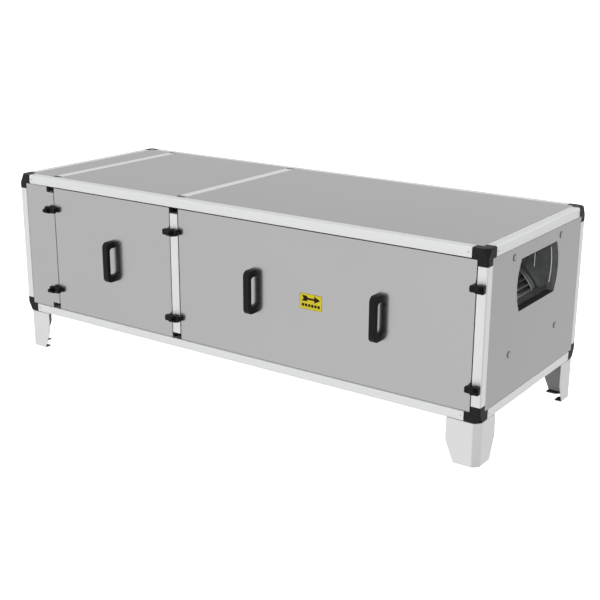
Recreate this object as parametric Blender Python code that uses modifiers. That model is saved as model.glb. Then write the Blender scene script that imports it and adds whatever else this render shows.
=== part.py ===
"""Air filtration unit on four legs: an aluminium frame with insulated panels, a
pleated filter behind the intake and a double-inlet centrifugal fan that blows
out through the right-hand end.

Metres, +Z up. X runs along the unit from the intake end to the outlet end, and
the access side with the handles faces -Y. The origin is on the floor, under
the middle of the unit's outer box.
"""

import math

import bmesh
import bpy
from mathutils import Matrix, Vector

# Overall sizes of the frame
LENGTH = 1.830
DEPTH = 0.690
FRAME_H = 0.505
LEG_H = 0.135

# Clearances
FIT = 0.0003
PANEL_GAP = 0.001
DOOR_GAP = 0.003

# Aluminium edge profile
TUBE = 0.030
TUBE_WALL = 0.002
TUBE_R = 0.007
LIP = 0.015
LIP_T = 0.002

# Plastic corner pieces
CORNER_REACH = 0.050
SPIGOT = 0.020
VERTEX_CUT = 0.018
VERTEX_CUT_Z = 0.026

# Posts and bars between the panels, with a plastic T-joint at each end
BAR_W = 0.032
BAR_1_X = 0.150
BAR_2_X = 0.720
T_JOINT = 0.020
T_OVERLAP = 0.003
T_PROUD = 0.0003
LAP_T = 0.0017

# Panels, which are this much thinner than the profile is wide
PANEL_STEP = 0.005
PANEL_EDGE = 0.001

# Intake opening in the left-hand end panel
INLET_W = 0.460
INLET_H = 0.300
INLET_R = 0.030

# Outlet opening in the right-hand end panel, a circle cut flat above and below
OUTLET_DROP = 0.1505
OUTLET_H = 0.157
OUTLET_R = 0.149

# Handles
HANDLE_XS = (0.440, 1.040, 1.495)
HANDLE_LEN = 0.140
HANDLE_W = 0.023
HANDLE_REACH = 0.037
HANDLE_FOOT = 0.022
HANDLE_GRIP = 0.015
HANDLE_R = 0.018
HANDLE_EDGE = 0.002

# Turn clamps
CLAMP_RISE = 0.104
CLAMP_DROP = 0.110
CLAMP_WING = 0.034
CLAMP_SHORT_WING = 0.024
CLAMP_POST_WING = 0.029
CLAMP_TAIL = 0.012
CLAMP_POST_TAIL = 0.0145
CLAMP_H = 0.024
CLAMP_END_R = 0.005
CLAMP_LIFT = 0.005
CLAMP_T = 0.014
CLAMP_HUB_R = 0.0095
CLAMP_HUB_REACH = 0.024
CLAMP_KNOB_R = 0.006
CLAMP_KNOB_REACH = 0.034

# Legs of folded sheet
LEG_W = 0.104
LEG_FOOT_W = 0.076
LEG_KINK = 0.071
LEG_CHAMFER = 0.020
LEG_SHEET = 0.002
LEG_LIP = 0.028

# Fan housing
SHEET = 0.002
THROAT_MARGIN = 0.002
THROAT_LEN = 0.030
CUTOFF_ANGLE = math.radians(24.4)
CUTOFF_GAP = 0.010
SCROLL_LIFT = 0.010
SCROLL_STEPS = 36
FLANGE_SIDE = 0.178
FLANGE_CLEAR = 0.002
FLANGE_H = 0.310
EYE_STEP = 0.007
FAN_RIM_R = 0.005
FAN_RIM_SINK = 0.001
EYE_EDGE = 0.001
FOOT_W = 0.030
FOOT_T = 0.003

# Fan wheel
BLADES = 32
BLADE_DEPTH = 0.024
BLADE_T = 0.0016
BLADE_SWEEP = math.radians(6)
WHEEL_SIDE_GAP = 0.008
WHEEL_RING = 0.004
HUB_R = 0.026
HUB_LEN = 0.050
SHAFT_R = 0.0095
SHAFT_GRIP = 0.030

# Fan motor, whose radius is a share of the inlet's
MOTOR_SHARE = 0.53
MOTOR_TAIL = 0.014
MOTOR_GAP = 0.008
ARM_R = 0.005
ARM_FOOT_R = 0.006
ARM_GAP = 0.003

# Filter and its guides
FILTER_SETBACK = 0.009
FILTER_T = 0.048
FILTER_BORDER = 0.018
PLEAT_PITCH = 0.026
PLEAT_SHEET = 0.005
GUIDE_T = 0.0015
GUIDE_H = 0.018

# Worked out from the sizes above
REACH = max(HANDLE_REACH, CLAMP_KNOB_REACH)
FRONT = -(DEPTH - REACH) / 2
BASE = LEG_H + FIT
PANEL_T = TUBE - PANEL_STEP
SEAT = PANEL_T + FIT
CENTRE_V = DEPTH / 2
T_LEN = max(T_JOINT, LIP + LIP_T + T_OVERLAP)
THROAT_TOP = FRAME_H - OUTLET_DROP + OUTLET_H / 2 + THROAT_MARGIN
THROAT_BOTTOM = THROAT_TOP - OUTLET_H - 2 * THROAT_MARGIN
THROAT_HALF = OUTLET_R + THROAT_MARGIN
SCROLL_FLOOR = PANEL_T + SCROLL_LIFT + SHEET
SCROLL_SWEEP = 1.5 * math.pi + CUTOFF_ANGLE
FLANGE_X = LENGTH - SEAT


def cutoff_radius():
    """Radius at the cut-off of the widest spiral that clears the floor panel."""
    share = math.pi / SCROLL_SWEEP
    rise = math.sin(CUTOFF_ANGLE)
    throat = THROAT_TOP - THROAT_BOTTOM
    room = THROAT_BOTTOM - SCROLL_FLOOR - throat * (1 - share)
    return room / (share + rise * (2 - share))


CUTOFF_R = cutoff_radius()
WHEEL_R = CUTOFF_R - CUTOFF_GAP
AXIS_W = THROAT_BOTTOM - CUTOFF_R * math.sin(CUTOFF_ANGLE)
AXIS_U = FLANGE_X - SHEET - THROAT_LEN - CUTOFF_R * math.cos(CUTOFF_ANGLE)
SCROLL_TOP_R = THROAT_TOP - AXIS_W
EYE_R = WHEEL_R - BLADE_DEPTH - EYE_STEP
RIM_R = EYE_R + EYE_EDGE + FAN_RIM_R
RIM_LEVEL = THROAT_HALF + SHEET + FAN_RIM_R - FAN_RIM_SINK
MOTOR_R = EYE_R * MOTOR_SHARE
HOUSING_HALF = THROAT_HALF + SHEET
ARM_LIFT = 2 * FAN_RIM_R + ARM_R + ARM_GAP
ARM_FOOT_AT = RIM_R + FAN_RIM_R + ARM_FOOT_R + ARM_GAP
FILTER_MID = BAR_1_X + BAR_W / 2 + LIP + FILTER_SETBACK + FILTER_T / 2

X, Y, Z = Vector((1, 0, 0)), Vector((0, 1, 0)), Vector((0, 0, 1))
MERGE = 0.00001


def at(u, v, w):
    """A point from the left end, the front face and the frame's underside."""
    return Vector((u - LENGTH / 2, FRONT + v, BASE + w))


def axes(first, second, origin):
    """A placement whose local X and Y run along the two given directions."""
    third = first.cross(second)
    turn = Matrix((first, second, third)).transposed()
    return Matrix.Translation(origin) @ turn.to_4x4()


def clear_scene():
    for item in list(bpy.data.objects):
        bpy.data.objects.remove(item)


def new_collection(name):
    collection = bpy.data.collections.new(name)
    bpy.context.scene.collection.children.link(collection)
    return collection


def new_material(name, color, roughness, metallic=0.0):
    material = bpy.data.materials.new(name)
    material.use_nodes = True
    shader = material.node_tree.nodes["Principled BSDF"]
    shader.inputs["Base Color"].default_value = (*color, 1.0)
    shader.inputs["Roughness"].default_value = roughness
    shader.inputs["Metallic"].default_value = metallic
    material.diffuse_color = (*color, 1.0)
    return material


clear_scene()
PARTS = new_collection("air_filtration_unit")
CUTTERS = new_collection("cutters")
ALUMINIUM = new_material("anodised_aluminium", (0.74, 0.74, 0.74), 0.38, 0.6)
PANEL = new_material("coated_panel", (0.46, 0.46, 0.46), 0.45)
PLASTIC = new_material("black_plastic", (0.03, 0.03, 0.03), 0.5)
GALVANISED = new_material("galvanised_sheet", (0.52, 0.53, 0.54), 0.4, 0.8)
LEG_STEEL = new_material("leg_sheet", (0.66, 0.66, 0.66), 0.42, 0.3)
MOTOR_PAINT = new_material("motor_paint", (0.10, 0.13, 0.16), 0.5)
MEDIA = new_material("filter_media", (0.80, 0.80, 0.76), 0.9)


def make_object(name, mesh, placement, material):
    mesh.name = name
    mesh.materials.clear()
    mesh.materials.append(material)
    piece = bpy.data.objects.new(name, mesh)
    piece.matrix_world = placement
    PARTS.objects.link(piece)
    return piece


def make_cutter(name, mesh, placement):
    cutter = bpy.data.objects.new(name, mesh)
    cutter.matrix_world = placement
    cutter.hide_render = True
    cutter.display_type = "WIRE"
    CUTTERS.objects.link(cutter)
    return cutter


def boolean(piece, other, operation, solver="EXACT"):
    step = piece.modifiers.new(operation.lower(), "BOOLEAN")
    step.object = other
    step.operation = operation
    step.solver = solver


def bevel(piece, width, segments=1):
    step = piece.modifiers.new("edges", "BEVEL")
    step.width = width
    step.segments = segments
    step.limit_method = "ANGLE"
    step.angle_limit = math.radians(50)


def smooth(mesh, degrees=40):
    mesh.shade_smooth()
    mesh.set_sharp_from_angle(angle=math.radians(degrees))


def mesh_from(build):
    """A mesh from a function that fills a bmesh."""
    work = bmesh.new()
    build(work)
    bmesh.ops.remove_doubles(work, verts=work.verts, dist=MERGE)
    bmesh.ops.recalc_face_normals(work, faces=work.faces)
    mesh = bpy.data.meshes.new("shape")
    work.to_mesh(mesh)
    work.free()
    return mesh


def box_mesh(*boxes):
    """Boxes given by their low and high corners, as one mesh."""
    def build(work):
        for low, high in boxes:
            low, high = Vector(low), Vector(high)
            size = Matrix.Diagonal((*(high - low), 1.0))
            place = Matrix.Translation((low + high) / 2)
            bmesh.ops.create_cube(work, size=1.0, matrix=place @ size)
    return mesh_from(build)


def rod_mesh(radius, low, high, sides=24):
    """A round bar along local Z."""
    def build(work):
        place = Matrix.Translation((0, 0, (low + high) / 2))
        bmesh.ops.create_cone(work, cap_ends=True, segments=sides, radius1=radius,
                              radius2=radius, depth=high - low, matrix=place)
    mesh = mesh_from(build)
    smooth(mesh)
    return mesh


def ring_mesh(radius, thick, low, sides=48):
    """A round rim along local Z whose section is a small circle."""
    def build(work):
        place = Matrix.Translation((radius, 0, low)) @ Matrix.Rotation(math.pi / 2, 4, "X")
        bmesh.ops.create_circle(work, cap_ends=False, segments=8, radius=thick, matrix=place)
        bmesh.ops.spin(work, geom=work.verts[:] + work.edges[:], cent=(0, 0, low),
                       axis=(0, 0, 1), angle=2 * math.pi, steps=sides, use_merge=True)
    mesh = mesh_from(build)
    smooth(mesh)
    return mesh


def outline_mesh(loops, low, high):
    """A flat outline with its holes, thickened along local Z from low to high."""
    curve = bpy.data.curves.new("outline", "CURVE")
    curve.dimensions = "2D"
    curve.fill_mode = "BOTH"
    curve.extrude = (high - low) / 2
    for loop in loops:
        spline = curve.splines.new("POLY")
        spline.points.add(len(loop) - 1)
        for point, (x, y) in zip(spline.points, loop):
            point.co = (x, y, 0.0, 1.0)
        spline.use_cyclic_u = True
    guide = bpy.data.objects.new("outline", curve)
    CUTTERS.objects.link(guide)
    graph = bpy.context.evaluated_depsgraph_get()
    mesh = bpy.data.meshes.new_from_object(guide.evaluated_get(graph))
    bpy.data.objects.remove(guide)
    mesh.transform(Matrix.Translation((0, 0, (low + high) / 2)))
    work = bmesh.new()
    work.from_mesh(mesh)
    bmesh.ops.remove_doubles(work, verts=work.verts, dist=MERGE)
    bmesh.ops.recalc_face_normals(work, faces=work.faces)
    work.to_mesh(mesh)
    work.free()
    smooth(mesh, 25)
    return mesh


def arc(x, y, radius, start, end, steps):
    """Points along an arc, from the start angle to the end angle in degrees."""
    points = []
    for step in range(steps + 1):
        angle = math.radians(start + (end - start) * step / steps)
        points.append((x + radius * math.cos(angle), y + radius * math.sin(angle)))
    return points


def rounded_rectangle(width, height, radius, steps=5):
    x, y = width / 2 - radius, height / 2 - radius
    loop = arc(x, y, radius, 0, 90, steps)
    loop += arc(-x, y, radius, 90, 180, steps)
    loop += arc(-x, -y, radius, 180, 270, steps)
    loop += arc(x, -y, radius, 270, 360, steps)
    return loop


# Frame


def profile_loops():
    """Section of the edge profile: a rounded tube with a lip behind each panel."""
    back = SEAT + LIP_T
    tip = TUBE + LIP
    outer = arc(TUBE_R, TUBE_R, TUBE_R, 180, 270, 4)
    outer += [(TUBE, 0), (TUBE, SEAT), (tip, SEAT), (tip, back), (TUBE, back)]
    outer += [(TUBE, TUBE), (back, TUBE), (back, tip), (SEAT, tip), (SEAT, TUBE), (0, TUBE)]
    hole = TUBE - TUBE_WALL
    inner = arc(TUBE_R, TUBE_R, TUBE_R - TUBE_WALL, 180, 270, 3)
    inner += [(hole, TUBE_WALL), (hole, hole), (TUBE_WALL, hole)]
    return outer, inner


def make_rail(name, middle, first, second, span):
    half = span / 2 - CORNER_REACH - FIT
    mesh = outline_mesh(profile_loops(), -half, half)
    make_object(name, mesh, axes(first, second, middle), ALUMINIUM)


def corner_mesh():
    """Three rounded arms that meet at a cut-off vertex, with a spigot on each."""
    def build(work):
        bmesh.ops.create_cube(work, size=TUBE)
        bmesh.ops.translate(work, verts=work.verts, vec=(TUBE / 2,) * 3)
        for axis in (X, Y, Z):
            work.faces.ensure_lookup_table()
            end = max(work.faces, key=lambda face: face.calc_center_median().dot(axis))
            made = bmesh.ops.extrude_face_region(work, geom=[end])["geom"]
            moved = [item for item in made if isinstance(item, bmesh.types.BMVert)]
            bmesh.ops.delete(work, geom=[end], context="FACES_ONLY")
            bmesh.ops.translate(work, verts=moved, vec=axis * (CORNER_REACH - TUBE))
        outer = [edge for edge in work.edges if lies_on_outer_edge(edge)]
        bmesh.ops.bevel(work, geom=outer, offset=TUBE_R, segments=3, profile=0.5,
                        affect="EDGES")
        normal = Vector((1 / VERTEX_CUT, 1 / VERTEX_CUT, 1 / VERTEX_CUT_Z)).normalized()
        geometry = work.verts[:] + work.edges[:] + work.faces[:]
        cut = bmesh.ops.bisect_plane(work, geom=geometry, dist=0.000001, clear_inner=True,
                                     plane_co=(VERTEX_CUT, 0, 0), plane_no=normal)
        rim = [item for item in cut["geom_cut"] if isinstance(item, bmesh.types.BMEdge)]
        bmesh.ops.contextual_create(work, geom=rim)
    return mesh_from(build)


def lies_on_outer_edge(edge):
    """True for an edge along one of the three outer edges that meet at the vertex."""
    near = 0.0001
    for first, second in ((0, 1), (1, 2), (0, 2)):
        if all(abs(vert.co[first]) < near and abs(vert.co[second]) < near
               for vert in edge.verts):
            return True
    return False


def spigot_mesh():
    low = TUBE_R - (TUBE_R - TUBE_WALL) / 2
    high = TUBE - TUBE_WALL - FIT
    start = CORNER_REACH - SPIGOT / 2
    end = CORNER_REACH + SPIGOT
    return box_mesh(((start, low, low), (end, high, high)),
                    ((low, start, low), (high, end, high)),
                    ((low, low, start), (high, high, end)))


def make_corner(name, vertex, x_in, y_in, z_in):
    mirrored = x_in.cross(y_in).dot(z_in) < 0
    first, second = (y_in, x_in) if mirrored else (x_in, y_in)
    placement = axes(first, second, vertex)
    corner = make_object(name, corner_mesh(), placement, PLASTIC)
    boolean(corner, make_cutter(name + "_spigots", spigot_mesh(), placement), "UNION")


def make_frame():
    sides = {"front": (0, Y), "back": (DEPTH, -Y)}
    ends = {"left": (0, X), "right": (LENGTH, -X)}
    levels = {"bottom": (0, Z), "top": (FRAME_H, -Z)}
    for level, (w, z_in) in levels.items():
        for side, (v, y_in) in sides.items():
            make_rail(f"rail_{side}_{level}", at(LENGTH / 2, v, w), y_in, z_in, LENGTH)
        for end, (u, x_in) in ends.items():
            make_rail(f"rail_{end}_{level}", at(u, DEPTH / 2, w), x_in, z_in, DEPTH)
    for side, (v, y_in) in sides.items():
        for end, (u, x_in) in ends.items():
            make_rail(f"post_{side}_{end}", at(u, v, FRAME_H / 2), x_in, y_in, FRAME_H)
            for level, (w, z_in) in levels.items():
                make_corner(f"corner_{side}_{end}_{level}", at(u, v, w), x_in, y_in, z_in)


def bar_loop(set_back):
    """Section of a bar between two panels: a solid web with a lip behind each."""
    half = BAR_W / 2
    tip = half + LIP
    back = SEAT + LIP_T
    return [(-half, set_back), (half, set_back), (half, SEAT), (tip, SEAT), (tip, back),
            (-tip, back), (-tip, SEAT), (-half, SEAT)]


def make_bar(name, middle, across, inward, span, set_back=0.0):
    end = span / 2 - TUBE - FIT
    web = end - T_LEN + T_OVERLAP
    mesh = outline_mesh([bar_loop(set_back)], -web, web)
    placement = axes(across, inward, middle)
    bar = make_object(name, mesh, placement, ALUMINIUM)
    half = BAR_W / 2 + T_PROUD
    start = end - T_LEN
    joints = box_mesh(((-half, -T_PROUD, start), (half, PANEL_T, end)),
                      ((-half, -T_PROUD, -end), (half, PANEL_T, -start)))
    boolean(bar, make_cutter(name + "_t_joints", joints, placement), "UNION", "MANIFOLD")


def make_bars():
    for number, u in enumerate((BAR_1_X, BAR_2_X), 1):
        lapped = LAP_T + 2 * FIT if number == 1 else 0.0
        make_bar(f"mullion_front_{number}", at(u, 0, FRAME_H / 2), X, Y, FRAME_H, lapped)
        make_bar(f"mullion_back_{number}", at(u, DEPTH, FRAME_H / 2), X, -Y, FRAME_H)
        make_bar(f"crossbar_top_{number}", at(u, DEPTH / 2, FRAME_H), X, -Z, DEPTH)


# Panels


def make_panel(name, low, high):
    low, high = at(*low), at(*high)
    middle = (low + high) / 2
    mesh = box_mesh((low - middle, high - middle))
    panel = make_object(name, mesh, Matrix.Translation(middle), PANEL)
    bevel(panel, PANEL_EDGE)
    return panel


def bay_edges(gap):
    """Where the panels of the three bays start and end along the unit."""
    half = BAR_W / 2 + T_PROUD + gap
    first = (TUBE + gap, BAR_1_X - half)
    second = (BAR_1_X + half, BAR_2_X - half)
    third = (BAR_2_X + half, LENGTH - TUBE - gap)
    return first, second, third


def make_front_panels():
    low, high = TUBE + PANEL_GAP, FRAME_H - TUBE - PANEL_GAP
    start, end = bay_edges(PANEL_GAP)[0]
    panel = make_panel("panel_front_inlet", (start, 0, low), (end, PANEL_T, high))
    skirt = TUBE + T_LEN + 2 * FIT
    lap_low = at(end - PANEL_T, FIT, skirt)
    lap_high = at(BAR_1_X + BAR_W / 2, LAP_T + FIT, FRAME_H - skirt)
    lap = make_cutter("inlet_panel_lap", box_mesh((lap_low, lap_high)), Matrix.Identity(4))
    boolean(panel, lap, "UNION")
    low, high = TUBE + DOOR_GAP, FRAME_H - TUBE - DOOR_GAP
    doors = zip(("door_filter", "door_fan"), bay_edges(DOOR_GAP)[1:])
    for name, (start, end) in doors:
        make_panel(name, (start, 0, low), (end, PANEL_T, high))


def make_fixed_panels():
    edge = TUBE + PANEL_GAP
    bays = zip(("inlet", "filter", "fan"), bay_edges(PANEL_GAP))
    for name, (start, end) in bays:
        make_panel(f"panel_back_{name}", (start, DEPTH - PANEL_T, edge),
                   (end, DEPTH, FRAME_H - edge))
        make_panel(f"panel_top_{name}", (start, edge, FRAME_H - PANEL_T),
                   (end, DEPTH - edge, FRAME_H))
    make_panel("panel_bottom", (edge, edge, 0), (LENGTH - edge, DEPTH - edge, PANEL_T))


def outlet_loop():
    """The outlet's outline about its centre: two arcs and two flat sides."""
    tilt = math.degrees(math.asin(OUTLET_H / 2 / OUTLET_R))
    loop = arc(0, 0, OUTLET_R, -tilt, tilt, 10)
    loop += arc(0, 0, OUTLET_R, 180 - tilt, 180 + tilt, 10)
    return loop


def make_end_panels():
    edge = TUBE + PANEL_GAP
    inlet = make_panel("inlet_panel", (0, edge, edge), (PANEL_T, DEPTH - edge, FRAME_H - edge))
    outlet = make_panel("outlet_panel", (LENGTH - PANEL_T, edge, edge),
                        (LENGTH, DEPTH - edge, FRAME_H - edge))
    reach = PANEL_T
    hole = outline_mesh([rounded_rectangle(INLET_W, INLET_H, INLET_R)], -reach, reach)
    place = axes(Y, Z, at(PANEL_T / 2, CENTRE_V, FRAME_H / 2))
    boolean(inlet, make_cutter("inlet_hole", hole, place), "DIFFERENCE")
    hole = outline_mesh([outlet_loop()], -reach, reach)
    place = axes(Y, Z, at(LENGTH - PANEL_T / 2, CENTRE_V, FRAME_H - OUTLET_DROP))
    boolean(outlet, make_cutter("outlet_hole", hole, place), "DIFFERENCE")


# Handles and clamps


def handle_loop():
    """Side outline of a bridge handle, open towards the panel."""
    half = HANDLE_LEN / 2
    inside = half - HANDLE_FOOT
    under = HANDLE_REACH - HANDLE_GRIP
    small = HANDLE_R / 2
    loop = [(-half, FIT), (-inside, FIT)]
    loop += arc(-inside + small, under - small, small, 180, 90, 4)
    loop += arc(inside - small, under - small, small, 90, 0, 4)
    loop += [(inside, FIT), (half, FIT)]
    loop += arc(half - HANDLE_R, HANDLE_REACH - HANDLE_R, HANDLE_R, 0, 90, 6)
    loop += arc(-half + HANDLE_R, HANDLE_REACH - HANDLE_R, HANDLE_R, 90, 180, 6)
    return loop


def make_handles():
    names = ("handle_filter", "handle_fan_left", "handle_fan_right")
    for name, u in zip(names, HANDLE_XS):
        mesh = outline_mesh([handle_loop()], -HANDLE_W / 2, HANDLE_W / 2)
        handle = make_object(name, mesh, axes(Z, -Y, at(u, 0, FRAME_H / 2)), PLASTIC)
        bevel(handle, HANDLE_EDGE)


def wing_loop(left, right):
    """Outline of a clamp's wings, with rounded corners."""
    loop = rounded_rectangle(left + right, CLAMP_H, CLAMP_END_R, 4)
    shift = (right - left) / 2
    return [(x + shift, y) for x, y in loop]


def make_clamp(name, pivot, left, right):
    """A turn clamp; local Z points out of the unit along its pivot."""
    placement = axes(X, Z, pivot)
    wings = outline_mesh([wing_loop(left, right)], CLAMP_LIFT, CLAMP_LIFT + CLAMP_T)
    clamp = make_object(name, wings, placement, PLASTIC)
    hub = rod_mesh(CLAMP_HUB_R, FIT, CLAMP_HUB_REACH, 16)
    boolean(clamp, make_cutter(name + "_hub", hub, placement), "UNION", "MANIFOLD")
    knob = rod_mesh(CLAMP_KNOB_R, CLAMP_HUB_REACH - CLAMP_T, CLAMP_KNOB_REACH, 10)
    boolean(clamp, make_cutter(name + "_knob", knob, placement), "UNION", "MANIFOLD")


def make_clamps():
    post = LENGTH - TUBE / 2
    kinds = (("left", BAR_1_X, CLAMP_TAIL, CLAMP_WING),
             ("middle", BAR_2_X, CLAMP_WING, CLAMP_SHORT_WING),
             ("right", post, CLAMP_POST_WING, CLAMP_POST_TAIL))
    levels = (("lower", CLAMP_RISE), ("upper", FRAME_H - CLAMP_DROP))
    for kind, u, left, right in kinds:
        for level, w in levels:
            make_clamp(f"clamp_{kind}_{level}", at(u, 0, w), left, right)


# Legs


def leg_loop(set_in, reach, depth):
    """Plan outline of a leg, whose corner is cut off at 45 degrees."""
    bend = LEG_CHAMFER + set_in * (1 - math.tan(math.pi / 8))
    return [(reach, set_in), (bend, set_in), (set_in, bend), (set_in, reach),
            (depth, reach), (depth, depth), (reach, depth)]


def leg_mesh():
    """One folded leg about its outer corner, with lips at its top and bottom."""
    body = outline_mesh([leg_loop(0, LEG_W, LEG_LIP)], -LEG_H, 0)
    leg = make_object("leg_pattern", body, Matrix.Identity(4), LEG_STEEL)
    past = 2 * LEG_LIP
    hollow = outline_mesh([leg_loop(LEG_SHEET, LEG_W + past, LEG_LIP + past)],
                          LEG_SHEET - LEG_H, -LEG_SHEET)
    boolean(leg, make_cutter("leg_hollow", hollow, Matrix.Identity(4)), "DIFFERENCE")
    rise = LEG_H - LEG_KINK
    taper = [(LEG_W, -LEG_KINK), (LEG_FOOT_W, -LEG_H), (LEG_FOOT_W, -LEG_H - rise),
             (LEG_W + past, -LEG_H - rise), (LEG_W + past, -LEG_KINK)]
    for number, placement in enumerate((axes(X, Z, Vector()), axes(Y, Z, Vector()))):
        wedge = outline_mesh([taper], -past, past)
        cutter = make_cutter(f"leg_taper_{number}", wedge, placement)
        boolean(leg, cutter, "DIFFERENCE")
    bpy.context.view_layer.update()
    graph = bpy.context.evaluated_depsgraph_get()
    mesh = bpy.data.meshes.new_from_object(leg.evaluated_get(graph))
    bpy.data.objects.remove(leg)
    return mesh


def make_legs():
    mesh = leg_mesh()
    places = (("leg_front_left", at(0, 0, -FIT), 0), ("leg_front_right", at(LENGTH, 0, -FIT), 90),
              ("leg_back_right", at(LENGTH, DEPTH, -FIT), 180),
              ("leg_back_left", at(0, DEPTH, -FIT), 270))
    for name, corner, turn in places:
        placement = Matrix.Translation(corner) @ Matrix.Rotation(math.radians(turn), 4, "Z")
        make_object(name, mesh.copy(), placement, LEG_STEEL)


# Fan


def scroll_loop(wall, past):
    """Side outline of the scroll and its throat about the fan's axis."""
    end = FLANGE_X - AXIS_U + past
    loop = [(end, SCROLL_TOP_R + wall)]
    for step in range(SCROLL_STEPS + 1):
        turned = SCROLL_SWEEP * step / SCROLL_STEPS
        radius = SCROLL_TOP_R - (SCROLL_TOP_R - CUTOFF_R) * turned / SCROLL_SWEEP + wall
        angle = math.pi / 2 + turned
        loop.append((radius * math.cos(angle), radius * math.sin(angle)))
    last_x, last_y = loop.pop()
    floor = THROAT_BOTTOM - AXIS_W - wall
    loop.append((last_x + (last_y - floor) * math.tan(CUTOFF_ANGLE), floor))
    loop.append((end, floor))
    return loop


def make_fan_housing():
    axis = at(AXIS_U, CENTRE_V, AXIS_W)
    placement = axes(X, Z, axis)
    shell = outline_mesh([scroll_loop(SHEET, -SHEET / 2)], -HOUSING_HALF, HOUSING_HALF)
    housing = make_object("fan_housing", shell, placement, GALVANISED)
    flange_top = FRAME_H - TUBE - LIP - FLANGE_CLEAR
    flange = box_mesh((at(FLANGE_X - SHEET, CENTRE_V - FLANGE_SIDE, flange_top - FLANGE_H),
                       at(FLANGE_X, CENTRE_V + FLANGE_SIDE, flange_top)))
    boolean(housing, make_cutter("fan_flange", flange, Matrix.Identity(4)), "UNION")
    for side, inward in (("front", Y), ("back", -Y)):
        place = axes(inward, Z, at(AXIS_U, CENTRE_V, SEAT))
        foot = outline_mesh([foot_loop()], -CUTOFF_R / 2, CUTOFF_R / 2)
        boolean(housing, make_cutter(f"fan_foot_{side}", foot, place), "UNION")
    for side, sign in (("front", 1), ("back", -1)):
        rim = ring_mesh(RIM_R, FAN_RIM_R, sign * RIM_LEVEL, 32)
        boolean(housing, make_cutter(f"fan_rim_{side}", rim, placement), "UNION")
    air = outline_mesh([scroll_loop(0, PANEL_T)], -THROAT_HALF, THROAT_HALF)
    boolean(housing, make_cutter("fan_air_space", air, placement), "DIFFERENCE")
    eye = rod_mesh(EYE_R, -HOUSING_HALF - PANEL_T, HOUSING_HALF + PANEL_T, 32)
    boolean(housing, make_cutter("fan_inlets", eye, placement), "DIFFERENCE")


def foot_loop():
    """End outline of an angle foot: X runs out from the axis, Y up from the floor."""
    wall = -HOUSING_HALF - FOOT_T
    inside = -HOUSING_HALF + SHEET / 2
    sole = -HOUSING_HALF - FOOT_W
    top = AXIS_W - WHEEL_R - SEAT
    return [(inside, 0), (inside, top), (wall, top), (wall, FOOT_T), (sole, FOOT_T), (sole, 0)]


def blade_loop(turn):
    """Section of one forward-curved blade, a bent strip between two radii."""
    outer_r = WHEEL_R - WHEEL_RING / 4
    inner_r = outer_r - BLADE_DEPTH
    bends = 2
    front, back = [], []
    for step in range(bends + 1):
        share = step / bends
        radius = inner_r + BLADE_DEPTH * share
        angle = turn - BLADE_SWEEP * share * share
        slope = 2 * share * BLADE_SWEEP * radius / BLADE_DEPTH
        half = BLADE_T / 2 * math.hypot(1, slope) / radius
        front.append((radius * math.cos(angle - half), radius * math.sin(angle - half)))
        back.append((radius * math.cos(angle + half), radius * math.sin(angle + half)))
    return front + back[::-1]


def circle(radius, sides=32):
    return arc(0, 0, radius, 0, 360 - 360 / sides, sides - 1)


def make_fan_wheel():
    placement = axes(X, Z, at(AXIS_U, CENTRE_V, AXIS_W))
    half = THROAT_HALF - WHEEL_SIDE_GAP
    ring_r = WHEEL_R - BLADE_DEPTH - WHEEL_RING / 2
    disc = outline_mesh([circle(WHEEL_R)], -WHEEL_RING / 2, WHEEL_RING / 2)
    wheel = make_object("fan_wheel", disc, placement, GALVANISED)
    blades = [blade_loop(2 * math.pi * number / BLADES) for number in range(BLADES)]
    reach = half - WHEEL_RING / 2
    strips = outline_mesh(blades, -reach, reach)
    boolean(wheel, make_cutter("wheel_blades", strips, placement), "UNION")
    for side, sign in (("front", 1), ("back", -1)):
        low, high = sorted((sign * half, sign * (half - WHEEL_RING)))
        ring = outline_mesh([circle(WHEEL_R), circle(ring_r)], low, high)
        boolean(wheel, make_cutter(f"wheel_ring_{side}", ring, placement), "UNION")
    hub = rod_mesh(HUB_R, -WHEEL_RING, HUB_LEN / 2)
    boolean(wheel, make_cutter("wheel_hub", hub, placement), "UNION")
    shaft = rod_mesh(SHAFT_R, 0, HUB_LEN / 2 + MOTOR_GAP + SHAFT_GRIP)
    boolean(wheel, make_cutter("wheel_shaft", shaft, placement), "UNION")


def make_fan_motor():
    """The motor hangs in the front inlet on three arms; local Z points to the front."""
    placement = axes(X, Z, at(AXIS_U, CENTRE_V, AXIS_W))
    start = HUB_LEN / 2 + MOTOR_GAP
    arm_level = HOUSING_HALF + ARM_LIFT
    body = rod_mesh(MOTOR_R, start, arm_level + MOTOR_TAIL, 32)
    motor = make_object("fan_motor", body, placement, MOTOR_PAINT)
    for number in range(3):
        turn = Matrix.Rotation(math.radians(90 + 120 * number), 4, "Z")
        lie = turn @ Matrix.Translation((0, 0, arm_level)) @ Matrix.Rotation(math.pi / 2, 4, "Y")
        arm = rod_mesh(ARM_R, MOTOR_R / 2, ARM_FOOT_AT, 10)
        boolean(motor, make_cutter(f"motor_arm_{number}", arm, placement @ lie), "UNION")
        foot = rod_mesh(ARM_FOOT_R, HOUSING_HALF + FIT, arm_level + ARM_FOOT_R, 10)
        stand = placement @ turn @ Matrix.Translation((ARM_FOOT_AT, 0, 0))
        boolean(motor, make_cutter(f"motor_foot_{number}", foot, stand), "UNION")
    bore = rod_mesh(SHAFT_R + FIT, start - MOTOR_GAP / 2, start + SHAFT_GRIP + MOTOR_GAP)
    boolean(motor, make_cutter("motor_bore", bore, placement), "DIFFERENCE")


# Filter


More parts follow.
